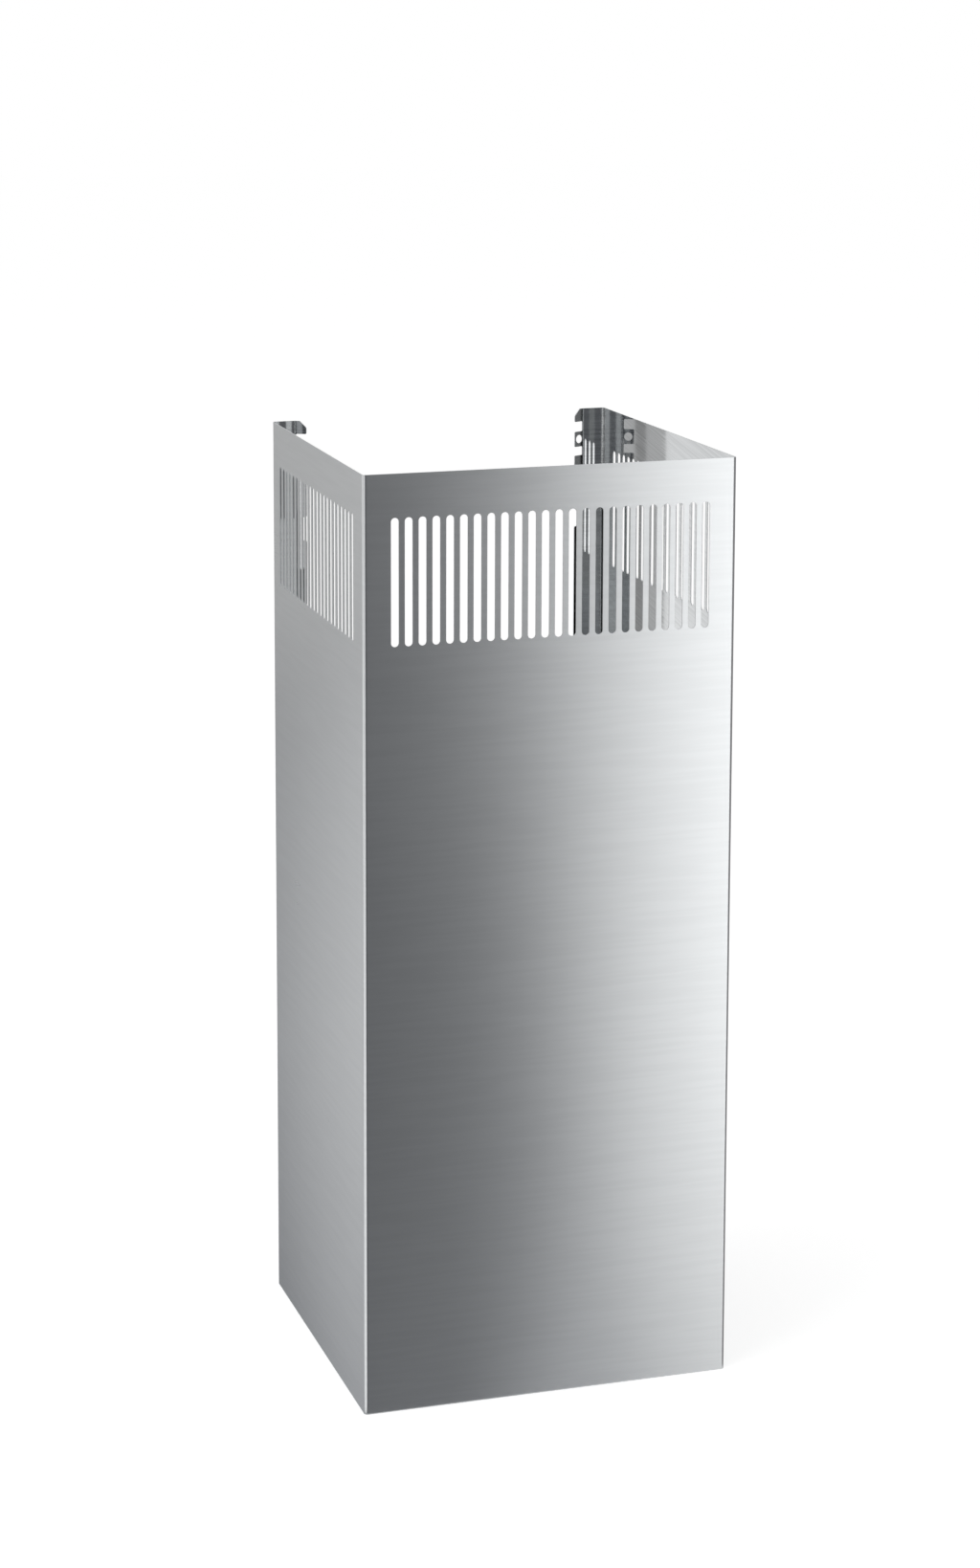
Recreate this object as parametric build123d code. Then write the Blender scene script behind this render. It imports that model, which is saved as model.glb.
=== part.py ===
from build123d import *
from math import cos, floor, radians, sin, tan
import os

# Chimney section for a cooker hood: one sheet of stainless steel, folded into an
# upright channel that is open at the top, at the bottom and along the back.
# Millimetres and degrees. The front faces -Y and +Z is up. The origin is at the
# height of the lower edge, in the middle of the width and the depth.

# Overall sizes
width = 304.0               # across the front, outside
depth = 290.0               # front face to the back of the rear flanges
height = 750.0              # lower edge to upper edge
sheet = 0.8                 # thickness of the steel

# Folds
bend_radius = 2.2           # inside radius of every fold
side_lean = 1.2             # the sides are folded this far past square
flange_width = 19.0         # rear flange, from the corner to the fold of its lip
lip_width = 10.0            # lip, from that fold to its free edge
lip_angle = 25.0            # the lip turns this far towards the front

# Vent slots near the upper edge
slot_width = 6.2
slot_length = 100.0
slot_pitch = 11.0
slot_drop = 34.0            # upper edge to the top of a slot
front_slot_margin = 25.0    # least distance from a front corner to a slot's centre
side_slot_start = 32.0      # front corner to the centre of the first slot on a side
side_slot_margin = 26.0     # least distance from a rear corner to a slot's centre

# Punched outline of each lip, measured down from the upper edge
lip_chamfer = 5.7           # cut across the upper free corner
top_tab_height = 11.0
upper_notch_height = 8.5
hole_tab_height = 13.0
lower_notch_height = 7.5
notch_root = 1.2            # what the notches leave beside the fold
hole_diameter = 7.0
edge_notch_drop = 81.0      # upper edge to the top of the shallow notch in the free edge
edge_notch_height = 20.0
edge_notch_depth = 3.0
corner_radius = 1.0         # on every punched corner

# Worked out from the sizes above
outer_radius = bend_radius + sheet
cut_reach = 4 * sheet       # how far a punch passes each face of the sheet
half_width = width / 2
half_depth = depth / 2
side_length = depth / cos(radians(side_lean))
hole_centre_drop = top_tab_height + upper_notch_height + hole_tab_height / 2
lower_notch_drop = top_tab_height + upper_notch_height + hole_tab_height


def heading(angle):
    """Level direction, turned by this angle from +X towards +Y."""
    return Vector(cos(radians(angle)), sin(radians(angle)))


# Directions in which the right half of the section runs, from the front to the free edge
along_side = heading(90 + side_lean)
along_flange = heading(180)
along_lip = heading(180 + lip_angle)

# Corners of the right half of the section, where the outer faces would meet if sharp
front_corner = Vector(half_width, -half_depth)
rear_corner = front_corner + along_side * side_length
lip_fold = rear_corner + along_flange * flange_width
lip_edge = lip_fold + along_lip * lip_width

# Planes on the outer faces, with X along the section and Y upwards
front_face = Plane(
    origin=Vector(0, -half_depth), x_dir=heading(0), z_dir=heading(-90)
)
side_face = Plane(
    origin=front_corner, x_dir=along_side, z_dir=heading(side_lean)
)
lip_face = Plane(
    origin=lip_fold, x_dir=along_lip, z_dir=heading(90 + lip_angle)
)


def folded_channel():
    """The sheet after folding, with no holes: flanges, lips, sides and front."""
    right_half = [front_corner, rear_corner, lip_fold, lip_edge]
    left_half = [Vector(-corner.X, corner.Y) for corner in reversed(right_half)]
    outside = FilletPolyline(*left_half, *right_half, radius=outer_radius)
    return make_brake_formed(sheet, height, outside, side=Side.LEFT)


def slot_count(run, first, last):
    """How many slots fit along a face, between the first and last places for a centre."""
    return floor((run - first - last) / slot_pitch) + 1


def slot_row(face, first_centre, count):
    """Punch for a row of upright slots with round ends, across one outer face."""
    centre_height = height - slot_drop - slot_length / 2
    row = Sketch() + [
        Pos(first_centre + number * slot_pitch, centre_height)
        * SlotOverall(slot_length, slot_width, rotation=90)
        for number in range(count)
    ]
    return extrude(face * row, amount=cut_reach, both=True)


def front_slots():
    """Slots across the front, centred on it."""
    count = slot_count(width, front_slot_margin, front_slot_margin)
    return slot_row(front_face, -(count - 1) * slot_pitch / 2, count)


def side_slots():
    """Slots across the right side, from the front corner backwards."""
    count = slot_count(side_length, side_slot_start, side_slot_margin)
    return slot_row(side_face, side_slot_start, count)


def notch(drop, notch_height, depth_from_edge):
    """Rectangle that opens through the lip's free edge, with its top at this drop."""
    overrun = cut_reach
    centre = lip_width - depth_from_edge / 2 + overrun / 2
    return Pos(centre, height - drop - notch_height / 2) * Rectangle(
        depth_from_edge + overrun, notch_height
    )


def lip_outline():
    """The right lip as punched: chamfered corner, tabs, notches and a hole."""
    full_notch = lip_width - notch_root
    outline = Rectangle(lip_width, height, align=(Align.MIN, Align.MIN))
    upper_corner = outline.vertices().sort_by(Axis.Y)[-2:].sort_by(Axis.X)[-1]
    outline = chamfer(upper_corner, lip_chamfer)
    outline -= notch(top_tab_height, upper_notch_height, full_notch)
    outline -= notch(lower_notch_drop, lower_notch_height, full_notch)
    outline -= notch(edge_notch_drop, edge_notch_height, edge_notch_depth)
    punched_corners = outline.vertices().filter_by(lambda corner: corner.X > notch_root / 2)
    outline = fillet(punched_corners, corner_radius)
    hole_centre = Pos(lip_width / 2, height - hole_centre_drop)
    return outline - hole_centre * Circle(hole_diameter / 2)


def lip_punch():
    """Punch for the right lip: all that its outline leaves out."""
    blank = Rectangle(
        lip_width + cut_reach, height + cut_reach, align=(Align.MIN, Align.MIN)
    )
    waste = blank - lip_outline()
    return extrude(lip_face * waste, amount=cut_reach / 2, both=True)


def chimney_section():
    """The finished sheet, with every hole on the right repeated on the left."""
    right_cuts = side_slots() + lip_punch()
    left_cuts = mirror(right_cuts, about=Plane.YZ)
    return folded_channel() - front_slots() - right_cuts - left_cuts


os.makedirs("parts", exist_ok=True)
export_step(chimney_section(), "parts/chimney_section.step")
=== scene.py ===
from math import cos, pi, radians, sin, tan

import bmesh
import bpy
from mathutils import Euler, Matrix, Vector


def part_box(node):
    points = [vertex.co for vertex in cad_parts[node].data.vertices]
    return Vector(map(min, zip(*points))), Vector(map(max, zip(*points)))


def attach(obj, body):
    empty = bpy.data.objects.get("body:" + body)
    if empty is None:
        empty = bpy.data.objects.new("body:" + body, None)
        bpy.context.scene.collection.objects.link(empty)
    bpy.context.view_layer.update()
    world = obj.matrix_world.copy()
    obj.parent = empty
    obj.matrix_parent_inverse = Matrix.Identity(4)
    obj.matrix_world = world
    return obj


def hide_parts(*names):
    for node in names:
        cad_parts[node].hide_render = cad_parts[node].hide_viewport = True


# Dress of a cooker hood's chimney section: one folded and slotted sheet of stainless
# steel. Metres. The front faces -Y, +Z is up, and the lower edge stands at height 0.

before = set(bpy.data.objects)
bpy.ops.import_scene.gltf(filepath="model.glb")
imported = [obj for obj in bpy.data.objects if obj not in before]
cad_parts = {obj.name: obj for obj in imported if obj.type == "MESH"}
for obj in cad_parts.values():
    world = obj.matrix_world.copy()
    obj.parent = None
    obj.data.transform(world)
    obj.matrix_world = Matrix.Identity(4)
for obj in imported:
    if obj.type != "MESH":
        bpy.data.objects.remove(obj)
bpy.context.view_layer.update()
low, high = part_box("chimney_section")

MM = 0.001

# Sheet and folds, as in the solid
WIDTH = 304 * MM            # across the front, between sharp corners
FRONT = low.y
BACK = high.y
BOTTOM = low.z
TOP = high.z
SHEET = 0.8 * MM
OUTER_RADIUS = 3.0 * MM     # outside of every fold
SIDE_LEAN = radians(1.2)    # the sides are folded this far past square
FLANGE_WIDTH = 19 * MM
LIP_WIDTH = 10 * MM
LIP_ANGLE = radians(25)     # the lip turns this far towards the front
FOLD_STEPS = 10

# Vent slots
SLOT_WIDTH = 6.2 * MM
SLOT_LENGTH = 100 * MM
SLOT_PITCH = 11 * MM
SLOT_DROP = 34 * MM         # upper edge to the top of a slot
FRONT_SLOTS = 24
SIDE_SLOTS = 22
SIDE_SLOT_START = 32 * MM   # front corner to the centre of the first slot on a side
SLOT_FOOT = TOP - SLOT_DROP - SLOT_LENGTH + SLOT_WIDTH / 2  # centre of a slot's lower end
SLOT_STEPS = 32             # straight lines that make up the two round ends

# Punched outline of each lip, measured down from the upper edge
LIP_CHAMFER = 5.7 * MM
NOTCH_ROOT = 1.2 * MM       # what the notches leave beside the fold
NOTCHES = (                 # top of the notch, its height, its depth from the free edge
    (11 * MM, 8.5 * MM, LIP_WIDTH - NOTCH_ROOT),
    (32.5 * MM, 7.5 * MM, LIP_WIDTH - NOTCH_ROOT),
    (81 * MM, 20 * MM, 3 * MM),
)
HOLE_DROP = 26 * MM
HOLE_DIAMETER = 7 * MM
CORNER_RADIUS = 1 * MM
CORNER_STEPS = 5

PUNCH_REACH = 3 * MM        # how far a punch passes each face of the sheet
EDGE_ROUND = 0.1 * MM       # the guillotine and the punch leave the edges this soft

# Camera, solved from the photograph's corners, edges and slots
CAMERA_PLACE = (-0.910, -2.777, 1.192)
CAMERA_TURN = radians(18.08)
CAMERA_TILT = radians(9.335)
CAMERA_ROLL = radians(0.172)
CAMERA_LENS = 84.37
CAMERA_SHIFT = 0.19

# Studio
FLOOR_SIZE = 24.0
WHITE = 1.0
AMBIENT = 0.55              # the world's light on everything, all round
FLOOR_GLOW = 0.5            # what the floor shows besides the light on it
LAMP_AIM = (0, 0, 0.4)
LAMPS = (                   # name, place, size, brightness
    ("left_softbox", (-2.6, -0.9, 1.3), (2.6, 2.6), 1.4),
    ("right_softbox", (2.2, -2.6, 1.3), (1.4, 2.4), 1.8),
)

# Graduated cards: one in front and one on the left, each along the floor and then up a wall
FRONT_CARD_SIZE = (6, 3.86, 5)      # width, reach along the floor, height of the wall
FRONT_CARD_ASIDE = 0.6              # its middle is this far to the right
LEFT_CARD_SIZE = (4, 3.54)          # on the floor
LEFT_CARD_UNDER = 0.04              # how far it goes in under the leaning side
LEFT_WALL = (6.2, 3)                # distance of the wall, its height
LEFT_WALL_ANGLES = (8, 24)
CARD_GAP = 0.5 * MM                 # of the lowest cards over the floor
BRIGHTEST = 2.4                     # of all tones, where 1 shows as white

# Plain cards behind the section, which its bright inside mirrors
BACK_CARD = (5.23, 1.5)             # distance, height
BACK_CARD_ANGLES = (18, 23.26)
BACK_POLE = (5.22, 1.5)
BACK_POLE_ANGLES = (22.78, 22.95)

# Plain cards on the floor, which spread out square from a front corner and which its bend mirrors
LEFT_SQUARE = (radians(150), 5)     # direction of one side, size
RIGHT_SQUARE = (radians(-45), 2.4)

# Plain cards that stand on the right and the left, and small ones that the lips mirror:
# size, place, how far each is turned about the vertical
RIGHT_CARD = ((5, 4), (1.9, 0.6, 2), pi / 2)
LEFT_LIP_CARD = ((0.9, 1.2), (-2.3, -0.95, 0.6), pi / 2)
RIGHT_LIP_CARD = ((0.13, 0.5), (0.56, -0.7, 0.5), radians(27))

# Tones of the graduated cards. They fan out about the point to which a panel mirrors the
# camera: degrees from straight ahead of the panel, and how bright it is there.
FRONT_TONES = (
    (-30, 1.0), (-12, 0.22), (15, 0.125), (18.4, 0.18), (21.3, 1.46), (23.2, 2.35),
    (25.6, 2.25), (27.2, 0.62), (60, 0.62),
)
# The foot's tones near the front panel are a painted shade. They are dimmer in the bright parts and
# a little lighter in the darkest, and stand for the shadow that the section casts on the floor
# close by, which the cards don't take
FRONT_FOOT_SHADE_TONES = (
    (-30, 0.8), (-12, 0.27), (14, 0.18), (17.3, 0.23), (19.8, 0.55), (22.5, 0.96),
    (26, 1.05), (28, 0.5), (60, 0.5),
)
LEFT_TONES = (
    (3, 0.6), (6, 0.3), (9.5, 0.1), (12, 0.22), (14, 0.8), (15.2, 1.05), (16.5, 0.96),
    (18, 0.94), (22, 0.3), (27, 0.3), (31, 1.0), (60, 1.0),
)
# The left side's foot tones are the same painted shade of the floor near the section
LEFT_FOOT_SHADE_TONES = (
    (3, 0.6), (6, 0.4), (10, 0.3), (12.2, 0.35), (14, 0.47), (15.2, 0.5), (17, 0.5),
    (21, 0.3), (27, 0.3), (31, 1.0), (60, 1.0),
)
# Reach of the painted shade at the foot
FOOT_SHADE_REACH = 1.2            # how far out from the panel the foot's tones go
TOWARDS_FRONT = 0.25        # what a radial gradient gives straight towards -Y
TOWARDS_BACK = 0.75         # and straight towards +Y
DARK_TINT = (0.97, 1.0, 1.07)   # the dark tones are a little cool


def across(angle):
    """Level direction, turned by this angle from +X towards +Y."""
    return Vector((cos(angle), sin(angle), 0))


ALONG_SIDE = across(pi / 2 + SIDE_LEAN)
ALONG_FLANGE = across(pi)
ALONG_LIP = across(pi + LIP_ANGLE)
FRONT_CORNER = Vector((WIDTH / 2, FRONT, 0))
REAR_CORNER = FRONT_CORNER + ALONG_SIDE * (BACK - FRONT) / cos(SIDE_LEAN)
LIP_FOLD = REAR_CORNER + ALONG_FLANGE * FLANGE_WIDTH


def mirrored(vector):
    return Vector((-vector.x, vector.y, vector.z))


def linear(hex_colour):
    """An sRGB hex colour as the linear colour that a shader takes."""
    shades = [int(hex_colour[place:place + 2], 16) / 255 for place in (1, 3, 5)]
    return [s / 12.92 if s <= 0.04045 else ((s + 0.055) / 1.055) ** 2.4 for s in shades] + [1]


# Materials

def add(tree, kind, settings=None, **links):
    """Adds a node. Settings are its properties and socket values, links feed its sockets,
    which are named, or numbered after an underscore."""
    node = tree.nodes.new(kind)
    for name, value in (settings or {}).items():
        if name in node.inputs:
            node.inputs[name].default_value = value
        else:
            setattr(node, name, value)
    for name, source in links.items():
        socket = int(name[1:]) if name[1:].isdigit() else name.replace("_", " ")
        tree.links.new(source, node.inputs[socket])
    return node


def new_material(name):
    material = bpy.data.materials.new(name)
    material.use_nodes = True
    material.node_tree.nodes.clear()
    return material, material.node_tree


def finish_material(tree, shader):
    add(tree, "ShaderNodeOutputMaterial", Surface=shader)


def two_colours(tree, share, first, second):
    """From the first hex colour at share 0 to the second at share 1."""
    colour = add(tree, "ShaderNodeMix", {"data_type": "RGBA"}, _0=share)
    colour.inputs[6].default_value = linear(first)
    colour.inputs[7].default_value = linear(second)
    return colour.outputs[2]


def drawn_lines(tree, place, spacing, length, turn):
    """Noise drawn out into lines, level before the turn, this far apart and about this long."""
    stretched = add(
        tree, "ShaderNodeMapping",
        {
            "vector_type": "TEXTURE", "Rotation": turn,
            "Scale": (length / spacing, length / spacing, 1),
        },
        Vector=place,
    )
    noise = add(
        tree, "ShaderNodeTexNoise", {"Scale": 1 / spacing, "Detail": 1, "Roughness": 0.5},
        Vector=stretched.outputs["Vector"],
    )
    # Cut off at both ends, so that no line stands out from the rest
    return add(
        tree, "ShaderNodeMapRange", {"From Min": 0.38, "From Max": 0.62}, Value=noise.outputs["Fac"]
    ).outputs["Result"]


def brushed_stainless():
    """Stainless steel brushed with a belt along the sheet: a satin face whose fine level
    lines spread each reflection upwards and downwards, and hardly sideways."""
    material, tree = new_material("brushed_stainless_steel")
    place = add(tree, "ShaderNodeTexCoord").outputs["Object"]
    # A belt scratches lines about 0.05 mm apart, too fine to show, so they are drawn 3.4 mm apart
    lines = drawn_lines(tree, place, 3.4 * MM, 70 * MM, (0, 0, radians(30)))
    # Patches a few centimetres wide where the belt pressed harder
    patch_size = 90 * MM
    patches = add(
        tree, "ShaderNodeTexNoise", {"Scale": 1 / patch_size, "Detail": 1.5, "Roughness": 0.5},
        Vector=place,
    )
    roughness = add(
        tree, "ShaderNodeMapRange", {"To Min": 0.279, "To Max": 0.281}, Value=lines
    )
    worn = add(
        tree, "ShaderNodeMapRange", {"To Min": -0.01, "To Max": 0.01}, Value=patches.outputs["Fac"]
    )
    both = add(
        tree, "ShaderNodeMath", {"operation": "ADD"},
        _0=roughness.outputs["Result"], _1=worn.outputs["Result"],
    )
    colour = two_colours(tree, lines, "#c6c8c9", "#c9cbcc")
    # Sparse specks of dust and pitting, about a millimetre across
    speck_spacing = 45 * MM
    speck_core, speck_edge = 0.4 * MM, 0.7 * MM
    specks = add(
        tree, "ShaderNodeTexVoronoi", {"Scale": 1 / speck_spacing, "Randomness": 1}, Vector=place
    )
    clean = add(
        tree, "ShaderNodeMapRange",
        {"From Min": speck_core / speck_spacing, "From Max": speck_edge / speck_spacing},
        Value=specks.outputs["Distance"],
    )
    speckled = add(
        tree, "ShaderNodeMix", {"data_type": "RGBA"},
        _0=clean.outputs["Result"], _7=colour,
    )
    speckled.inputs[6].default_value = linear("#9a9c9e")
    bump = add(
        tree, "ShaderNodeBump", {"Strength": 0.1, "Distance": 0.001 * MM},
        Height=lines,
    )
    level = add(tree, "ShaderNodeTangent", {"direction_type": "RADIAL", "axis": "Z"})
    steel = add(
        tree, "ShaderNodeBsdfPrincipled",
        {"Metallic": 1.0, "Anisotropic": 0.92, "Anisotropic Rotation": 0.25},
        Base_Color=speckled.outputs[2], Roughness=both.outputs["Value"],
        Normal=bump.outputs["Normal"], Tangent=level.outputs["Tangent"],
    )
    finish_material(tree, steel.outputs["BSDF"])
    return material


def bright_rolled_stainless():
    """The sheet's inside as the mill rolled it: nearly a mirror, with faint long streaks."""
    material, tree = new_material("bright_rolled_stainless_steel")
    place = add(tree, "ShaderNodeTexCoord").outputs["Object"]
    # The rolls leave finer streaks than show, so they are drawn 1.6 mm apart. On the sides they
    # run down a little towards the front
    streaks = drawn_lines(tree, place, 1.6 * MM, 150 * MM, (radians(9.5), 0, 0))
    roughness = add(
        tree, "ShaderNodeMapRange", {"To Min": 0.015, "To Max": 0.03}, Value=streaks
    )
    colour = two_colours(tree, streaks, "#c4c6c7", "#cfd1d2")
    bump = add(
        tree, "ShaderNodeBump", {"Strength": 0.05, "Distance": 0.005 * MM},
        Height=streaks,
    )
    steel = add(
        tree, "ShaderNodeBsdfPrincipled", {"Metallic": 1.0},
        Base_Color=colour, Roughness=roughness.outputs["Result"],
        Normal=bump.outputs["Normal"],
    )
    finish_material(tree, steel.outputs["BSDF"])
    return material


def punched_edge_stainless():
    """Bare edge that the punch and the guillotine leave: half burnished and half torn, so it
    shows a dull even grey."""
    material, tree = new_material("punched_edge_stainless_steel")
    place = add(tree, "ShaderNodeTexCoord").outputs["Object"]
    # Drag marks of the punch, drawn 0.3 mm apart
    mark_spacing = 0.3 * MM
    marks = add(
        tree, "ShaderNodeTexNoise", {"Scale": 1 / mark_spacing, "Detail": 2}, Vector=place
    )
    roughness = add(
        tree, "ShaderNodeMapRange", {"To Min": 0.3, "To Max": 0.5}, Value=marks.outputs["Fac"]
    )
    colour = two_colours(tree, marks.outputs["Fac"], "#b4b6b8", "#c8cacb")
    steel = add(
        tree, "ShaderNodeBsdfPrincipled", {"Metallic": 1.0},
        Base_Color=colour, Roughness=roughness.outputs["Result"],
    )
    finish_material(tree, steel.outputs["BSDF"])
    return material


# Modelling by hand

def deselect_all():
    bpy.ops.object.select_all(action="DESELECT")


def activate(piece):
    deselect_all()
    piece.select_set(True)
    bpy.context.view_layer.objects.active = piece


def newest(name):
    piece = bpy.context.active_object
    piece.name = name
    piece.data.name = name
    return piece


def settle():
    """Applies the active object's place, turn and scale to its mesh."""
    bpy.ops.object.transform_apply(location=True, rotation=True, scale=True)


def pick(kind, test):
    """In edit mode, selects only the vertices, edges or faces that pass the test."""
    bpy.ops.mesh.select_mode(type=kind)
    bpy.ops.mesh.select_all(action="DESELECT")
    mesh = bpy.context.active_object.data
    shape = bmesh.from_edit_mesh(mesh)
    for item in {"VERT": shape.verts, "EDGE": shape.edges, "FACE": shape.faces}[kind]:
        if test(item):
            item.select_set(True)
    bmesh.update_edit_mesh(mesh)


def modify(piece, kind, **settings):
    """Adds a modifier with these settings and applies it."""
    activate(piece)
    modifier = piece.modifiers.new(kind.lower(), kind)
    for name, value in settings.items():
        setattr(modifier, name, value)
    bpy.ops.object.modifier_apply(modifier=modifier.name)


def middle(item):
    return sum((vert.co for vert in item.verts), Vector()) / len(item.verts)


def upright_at(corner):
    """Test for an edge that stands upright over this corner of the outline."""
    def test(edge):
        return all((vert.co.xy - corner.xy).length < 0.01 * MM for vert in edge.verts)
    return test


def through_sheet_at(corner):
    """Test for an edge that runs through the sheet, from this corner of its outer face."""
    def test(edge):
        return all((vert.co - corner).length < SHEET + 0.01 * MM for vert in edge.verts)
    return test


def folded_outside():
    """The sheet's outer face: a front, then side, flange and lip pulled out on each hand. The
    lips come out too wide, for the lip punch to trim."""
    deselect_all()
    bpy.ops.mesh.primitive_plane_add(
        size=1, location=(0, FRONT, (BOTTOM + TOP) / 2), rotation=(pi / 2, 0, 0)
    )
    sheet = newest("folded_sheet")
    sheet.scale = (WIDTH, TOP - BOTTOM, 1)
    settle()
    bpy.ops.object.mode_set(mode="EDIT")
    lip = ALONG_LIP * (LIP_WIDTH + PUNCH_REACH)
    runs = (REAR_CORNER - FRONT_CORNER, LIP_FOLD - REAR_CORNER, lip)
    for hand in (Vector.copy, mirrored):
        pick("EDGE", upright_at(hand(FRONT_CORNER)))
        for run in runs:
            bpy.ops.mesh.extrude_region_move(TRANSFORM_OT_translate={"value": hand(run)})
    folds = (
        (FRONT_CORNER, pi / 2 + SIDE_LEAN),
        (REAR_CORNER, pi / 2 - SIDE_LEAN),
        (LIP_FOLD, LIP_ANGLE),
    )
    for corner, turn in folds:
        for hand in (Vector.copy, mirrored):
            pick("EDGE", upright_at(hand(corner)))
            bpy.ops.mesh.bevel(
                offset=OUTER_RADIUS * tan(turn / 2), segments=FOLD_STEPS, affect="EDGES"
            )
    bpy.ops.object.mode_set(mode="OBJECT")
    return sheet


def slot_punch(name, count):
    """A row of upright punches with round ends, that starts at the origin and runs along +X."""
    deselect_all()
    half_step = pi / SLOT_STEPS
    bpy.ops.mesh.primitive_cylinder_add(
        vertices=SLOT_STEPS, radius=SLOT_WIDTH / 2 / cos(half_step), depth=2 * PUNCH_REACH,
        rotation=(pi / 2, half_step, 0),
    )
    punch = newest(name)
    settle()
    bpy.ops.object.mode_set(mode="EDIT")
    pick("VERT", lambda vert: vert.co.z > 0)
    bpy.ops.transform.translate(value=(0, 0, SLOT_LENGTH - SLOT_WIDTH))
    bpy.ops.object.mode_set(mode="OBJECT")
    modify(
        punch, "ARRAY", count=count, use_relative_offset=False, use_constant_offset=True,
        constant_offset_displace=(SLOT_PITCH, 0, 0),
    )
    return punch


def place_on(punch, start, along):
    """Moves a punch from the origin to a start point, and turns its +X along a face."""
    turn = Matrix((along, Vector((0, 0, 1)).cross(along), (0, 0, 1))).transposed().to_4x4()
    punch.matrix_world = Matrix.Translation(start) @ turn
    activate(punch)
    settle()


def both_hands(punch):
    modify(punch, "MIRROR", use_axis=(True, False, False), use_mirror_merge=False)


def front_slot_punch():
    punch = slot_punch("front_slot_punch", FRONT_SLOTS)
    start = Vector((-(FRONT_SLOTS - 1) * SLOT_PITCH / 2, FRONT, SLOT_FOOT))
    place_on(punch, start, across(0))
    return punch


def side_slot_punch():
    punch = slot_punch("side_slot_punch", SIDE_SLOTS)
    start = FRONT_CORNER + ALONG_SIDE * SIDE_SLOT_START
    start.z = SLOT_FOOT
    place_on(punch, start, ALONG_SIDE)
    both_hands(punch)
    return punch


def hole_punch():
    deselect_all()
    bpy.ops.mesh.primitive_cylinder_add(
        vertices=SLOT_STEPS, radius=HOLE_DIAMETER / 2, depth=2 * PUNCH_REACH,
        rotation=(pi / 2, 0, 0),
    )
    punch = newest("hole_punch")
    settle()
    start = LIP_FOLD + ALONG_LIP * LIP_WIDTH / 2
    start.z = TOP - HOLE_DROP
    place_on(punch, start, ALONG_LIP)
    both_hands(punch)
    return punch


def lip_punch():
    """A comb that trims the lip's free edge, and whose teeth cut its notches."""
    overrun = 4 * PUNCH_REACH
    tall = TOP - BOTTOM + 2 * overrun
    deselect_all()
    bpy.ops.mesh.primitive_cube_add(
        size=1, location=(LIP_WIDTH + overrun / 2, 0, (BOTTOM + TOP) / 2)
    )
    punch = newest("lip_punch")
    punch.scale = (overrun, 2 * PUNCH_REACH, tall)
    settle()
    bpy.ops.object.mode_set(mode="EDIT")
    levels = [TOP - LIP_CHAMFER]
    for drop, notch_height, depth in NOTCHES:
        levels += [TOP - drop, TOP - drop - notch_height]
    for level in levels:
        bpy.ops.mesh.select_all(action="SELECT")
        bpy.ops.mesh.bisect(plane_co=(0, 0, level), plane_no=(0, 0, 1))
    for drop, notch_height, depth in NOTCHES:
        centre = TOP - drop - notch_height / 2
        pick(
            "FACE",
            lambda face: face.normal.x < -0.9 and abs(middle(face).z - centre) < notch_height / 4,
        )
        bpy.ops.mesh.extrude_region_move(TRANSFORM_OT_translate={"value": (-depth, 0, 0)})
    # The end above the upper edge leans over the sheet at 45 degrees, and so cuts the chamfer
    pick("VERT", lambda vert: vert.co.z > TOP and vert.co.x < LIP_WIDTH + overrun / 2)
    bpy.ops.transform.translate(value=(-(LIP_CHAMFER + overrun), 0, 0))

    def punched_corner(edge):
        a, b = (vert.co for vert in edge.verts)
        runs_through = abs(a.y - b.y) > PUNCH_REACH
        within = BOTTOM < a.z < TOP and a.x < LIP_WIDTH + overrun / 2
        return runs_through and within
    pick("EDGE", punched_corner)
    bpy.ops.mesh.bevel(offset=CORNER_RADIUS, segments=CORNER_STEPS, affect="EDGES")
    bpy.ops.object.mode_set(mode="OBJECT")
    place_on(punch, LIP_FOLD, ALONG_LIP)
    both_hands(punch)
    return punch


def round_lip_ends(sheet):
    """Rounds the two corners where each lip's punched edge meets the ends of the sheet."""
    ends = ((LIP_WIDTH - LIP_CHAMFER, TOP, pi / 4), (LIP_WIDTH, BOTTOM, pi / 2))
    activate(sheet)
    bpy.ops.object.mode_set(mode="EDIT")
    for reach, level, turn in ends:
        for hand in (Vector.copy, mirrored):
            corner = hand(LIP_FOLD + ALONG_LIP * reach)
            corner.z = level
            pick("EDGE", through_sheet_at(corner))
            bpy.ops.mesh.bevel(
                offset=CORNER_RADIUS * tan(turn / 2), segments=CORNER_STEPS, affect="EDGES"
            )
    bpy.ops.object.mode_set(mode="OBJECT")


def chimney_sheet():
    """The folded sheet with its thickness, slots, notches, holes and soft edges."""
    edge = punched_edge_stainless()
    sheet = folded_outside()
    for material in (brushed_stainless(), bright_rolled_stainless(), edge):
        sheet.data.materials.append(material)
    modify(
        sheet, "SOLIDIFY", thickness=SHEET, offset=-1, use_even_offset=True,
        material_offset=1, material_offset_rim=2,
    )
    punches = [front_slot_punch(), side_slot_punch(), hole_punch(), lip_punch()]
    deselect_all()
    for punch in punches:
        punch.data.materials.append(edge)
        punch.select_set(True)
    bpy.context.view_layer.objects.active = punches[0]
    bpy.ops.object.join()
    modify(
        sheet, "BOOLEAN", operation="DIFFERENCE", solver="EXACT", object=punches[0],
        material_mode="TRANSFER",
    )
    bpy.data.objects.remove(punches[0])
    round_lip_ends(sheet)
    modify(
        sheet, "BEVEL", width=EDGE_ROUND, segments=2, limit_method="ANGLE",
        angle_limit=radians(40), use_clamp_overlap=False,
    )
    activate(sheet)
    bpy.ops.object.shade_smooth_by_angle(angle=radians(50))
    modify(sheet, "WEIGHTED_NORMAL", keep_sharp=True)
    return sheet


# Studio

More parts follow.
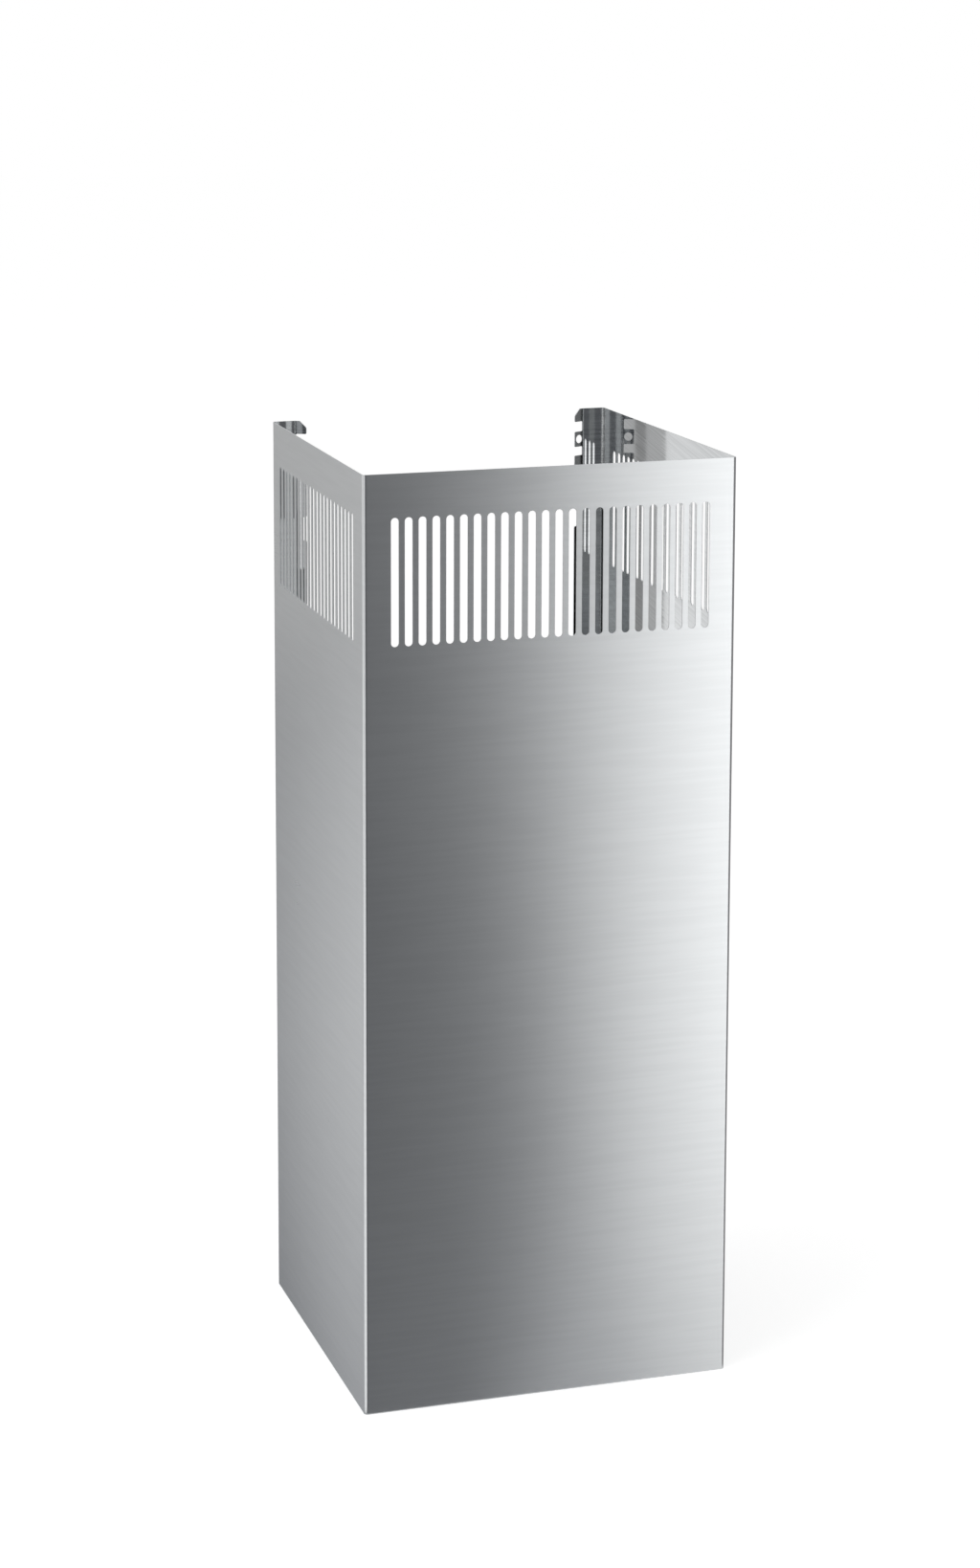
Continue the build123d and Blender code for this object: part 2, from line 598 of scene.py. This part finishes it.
def seen_directly(tree):
    """1 for what the eye sees, also by way of a reflection or through glass, and 0 for light."""
    ray = add(tree, "ShaderNodeLightPath").outputs
    seen = add(
        tree, "ShaderNodeMath", {"operation": "ADD"},
        _0=ray["Is Camera Ray"], _1=ray["Is Glossy Ray"],
    )
    seen = add(
        tree, "ShaderNodeMath", {"operation": "ADD", "use_clamp": True},
        _0=seen.outputs["Value"], _1=ray["Is Transmission Ray"],
    )
    return seen.outputs["Value"]


def plain_world():
    """White to the eye and in the steel, and an even soft light on everything else."""
    world = bpy.data.worlds.new("studio")
    world.use_nodes = True
    tree = world.node_tree
    tree.nodes.clear()
    strength = add(
        tree, "ShaderNodeMapRange", {"To Min": AMBIENT, "To Max": WHITE}, Value=seen_directly(tree)
    )
    light = add(
        tree, "ShaderNodeBackground", {"Color": (1, 1, 1, 1)}, Strength=strength.outputs["Result"]
    )
    add(tree, "ShaderNodeOutputWorld", Surface=light.outputs["Background"])
    bpy.context.scene.world = world


def pale_floor():
    """Floor paper that shows white where nothing shades it, and still takes a shadow."""
    material, tree = new_material("pale_floor_paper")
    paper = add(tree, "ShaderNodeBsdfDiffuse", {"Color": linear("#f4f4f4")})
    strength = add(
        tree, "ShaderNodeMapRange", {"To Max": FLOOR_GLOW}, Value=seen_directly(tree)
    )
    glow = add(
        tree, "ShaderNodeEmission", {"Color": (1, 1, 1, 1)}, Strength=strength.outputs["Result"]
    )
    both = add(
        tree, "ShaderNodeAddShader", _0=paper.outputs["BSDF"], _1=glow.outputs["Emission"]
    )
    finish_material(tree, both.outputs["Shader"])
    deselect_all()
    bpy.ops.mesh.primitive_plane_add(size=FLOOR_SIZE, location=(0, 0, BOTTOM))
    floor = newest("floor")
    settle()
    floor.data.materials.append(material)


def card(name, material, size, place, turn=(0, 0, 0)):
    """A studio card that only the steel's reflections show: it gives and takes no light."""
    deselect_all()
    bpy.ops.mesh.primitive_plane_add(size=1, location=place, rotation=turn)
    board = newest(name)
    board.scale = (*size, 1)
    settle()
    board.data.materials.append(material)
    board.visible_camera = False
    board.visible_diffuse = False
    board.visible_shadow = False
    board.visible_volume_scatter = False
    return board


def plain_card(name, tone):
    material, tree = new_material(name)
    face = add(tree, "ShaderNodeEmission", {"Color": (1, 1, 1, 1), "Strength": tone})
    finish_material(tree, face.outputs["Emission"])
    return material


def fanned_tones(tree, share, tones):
    """Tones along the fan, from its first angle at share 0 to its last at share 1."""
    shade = add(tree, "ShaderNodeValToRGB", Fac=share)
    ramp = shade.color_ramp
    ramp.interpolation = "EASE"
    first, last = tones[0][0], tones[-1][0]
    for number, (angle, tone) in enumerate(tones):
        position = (angle - first) / (last - first)
        if number >= len(ramp.elements):
            ramp.elements.new(position)
        ramp.elements[number].position = position
        cool = max(0, 1 - tone)
        ramp.elements[number].color = [
            tone / BRIGHTEST * (1 + (tint - 1) * cool) for tint in DARK_TINT
        ] + [1]
    return shade.outputs["Color"]


def graduated_card(name, centre, ahead, near, foot_shade_tones, tones):
    """Card whose tones fan out about a point, and change from near the panel outwards: near the
    panel they carry a painted shade of the floor around the section's foot.
    """
    material, tree = new_material(name)
    place = add(tree, "ShaderNodeTexCoord").outputs["Object"]
    centred = add(
        tree, "ShaderNodeMapping", {"Location": (-centre[0], -centre[1], 0)}, Vector=place
    ).outputs["Vector"]
    fan = add(tree, "ShaderNodeTexGradient", {"gradient_type": "RADIAL"}, Vector=centred)
    share = add(
        tree, "ShaderNodeMapRange",
        {"From Min": ahead + tones[0][0] / 360, "From Max": ahead + tones[-1][0] / 360},
        Value=fan.outputs["Fac"],
    ).outputs["Result"]
    distance = add(tree, "ShaderNodeVectorMath", {"operation": "LENGTH"}, _0=centred)
    # Painted shade: the foot's tones near the panel give way to the full tones over the reach of
    # the foot's shade
    outwards = add(
        tree, "ShaderNodeMapRange", {"From Min": near, "From Max": near + FOOT_SHADE_REACH},
        Value=distance.outputs["Value"],
    )
    colour = add(
        tree, "ShaderNodeMix", {"data_type": "RGBA"}, _0=outwards.outputs["Result"],
        _6=fanned_tones(tree, share, foot_shade_tones), _7=fanned_tones(tree, share, tones),
    )
    face = add(tree, "ShaderNodeEmission", {"Strength": BRIGHTEST}, Color=colour.outputs[2])
    finish_material(tree, face.outputs["Emission"])
    return material


def camera_mirrored_in(corner, along):
    """Where an upright panel, that runs along this direction from a corner, mirrors the camera."""
    place = Vector(CAMERA_PLACE)
    outward = along.cross(Vector((0, 0, 1)))
    return place - 2 * (place - corner).dot(outward) * outward


def strip(name, material, centre, angles, distance, tall):
    """Upright card across a sector of the fan about a point, this far off towards the back.
    The angles are in degrees to the left of straight back."""
    x = [centre.x - distance * tan(radians(angle)) for angle in angles]
    place = (sum(x) / 2, centre.y + distance, tall / 2)
    card(name, material, (x[0] - x[1], tall), place, (pi / 2, 0, 0))


def floor_square(name, material, corner, turn, size):
    """Square card on the floor that spreads out from a corner, with a side in this direction."""
    centre = corner + (across(turn) + across(turn + pi / 2)) * size / 2
    card(name, material, (size, size), (centre.x, centre.y, 2 * CARD_GAP), (0, 0, turn))


def upright_card(name, material, size, place, turn):
    card(name, material, size, place, (pi / 2, 0, turn))


def front_cards():
    """A wall and a floor in front: dark on the left and bright on the right of the panel."""
    fan = camera_mirrored_in(FRONT_CORNER, across(0))
    tones = graduated_card(
        "front_card", fan, TOWARDS_FRONT, fan.y - FRONT, FRONT_FOOT_SHADE_TONES, FRONT_TONES
    )
    width, reach, tall = FRONT_CARD_SIZE
    floor_place = (FRONT_CARD_ASIDE, FRONT - reach / 2 - CARD_GAP, CARD_GAP)
    card("front_floor_card", tones, (width, reach), floor_place)
    wall_place = (FRONT_CARD_ASIDE, FRONT - reach, tall / 2)
    upright_card("front_wall_card", tones, (width, tall), wall_place, 0)


def left_cards():
    """The same for the left side, whose reflections run backwards."""
    corner = mirrored(FRONT_CORNER)
    fan = camera_mirrored_in(corner, mirrored(ALONG_SIDE))
    tones = graduated_card(
        "left_card", fan, TOWARDS_BACK, FRONT - fan.y, LEFT_FOOT_SHADE_TONES, LEFT_TONES
    )
    width, reach = LEFT_CARD_SIZE
    place = (corner.x + LEFT_CARD_UNDER - width / 2, FRONT + reach / 2, CARD_GAP)
    card("left_floor_card", tones, (width, reach), place)
    strip("left_wall_card", tones, fan, LEFT_WALL_ANGLES, *LEFT_WALL)


def plain_cards():
    """Even tones that the inside, the bends and the lips mirror."""
    mid, dark = plain_card("mid_grey_card", 0.55), plain_card("dark_card", 0.33)
    bright = plain_card("bright_card", 1.3)
    fan = camera_mirrored_in(FRONT_CORNER, ALONG_SIDE)
    strip("rear_card", mid, fan, BACK_CARD_ANGLES, *BACK_CARD)
    strip("rear_pole", dark, fan, BACK_POLE_ANGLES, *BACK_POLE)
    floor_square("corner_card", bright, mirrored(FRONT_CORNER), *LEFT_SQUARE)
    floor_square("right_corner_card", dark, FRONT_CORNER, *RIGHT_SQUARE)
    upright_card("right_card", dark, *RIGHT_CARD)
    upright_card("left_front_card", dark, *LEFT_LIP_CARD)
    upright_card("right_front_card", dark, *RIGHT_LIP_CARD)


def softbox(name, place, size, brightness):
    """A flat lamp whose face is as bright all over as this, and that no reflection shows."""
    deselect_all()
    bpy.ops.object.light_add(type="AREA", location=place)
    lamp = bpy.context.active_object
    lamp.name = name
    lamp.rotation_euler = (Vector(LAMP_AIM) - Vector(place)).to_track_quat("-Z", "Y").to_euler()
    lamp.data.shape = "RECTANGLE"
    lamp.data.size, lamp.data.size_y = size
    lamp.data.energy = brightness * pi * size[0] * size[1]
    lamp.visible_camera = False
    lamp.visible_glossy = False


def take_photograph():
    deselect_all()
    aim = Euler((pi / 2 - CAMERA_TILT, 0, -CAMERA_TURN)).to_matrix()
    turn = aim @ Matrix.Rotation(CAMERA_ROLL, 3, "Z")
    bpy.ops.object.camera_add(location=CAMERA_PLACE, rotation=turn.to_euler())
    camera = bpy.context.active_object
    camera.data.sensor_width = 36
    camera.data.lens = CAMERA_LENS
    camera.data.shift_y = -CAMERA_SHIFT
    camera.data.clip_end = 100
    bpy.context.scene.camera = camera


take_photograph()
plain_world()
pale_floor()
front_cards()
left_cards()
plain_cards()
for lamp in LAMPS:
    softbox(*lamp)

sheet = chimney_sheet()
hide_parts("chimney_section")
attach(sheet, "root")

bpy.context.scene.view_settings.view_transform = "Standard"
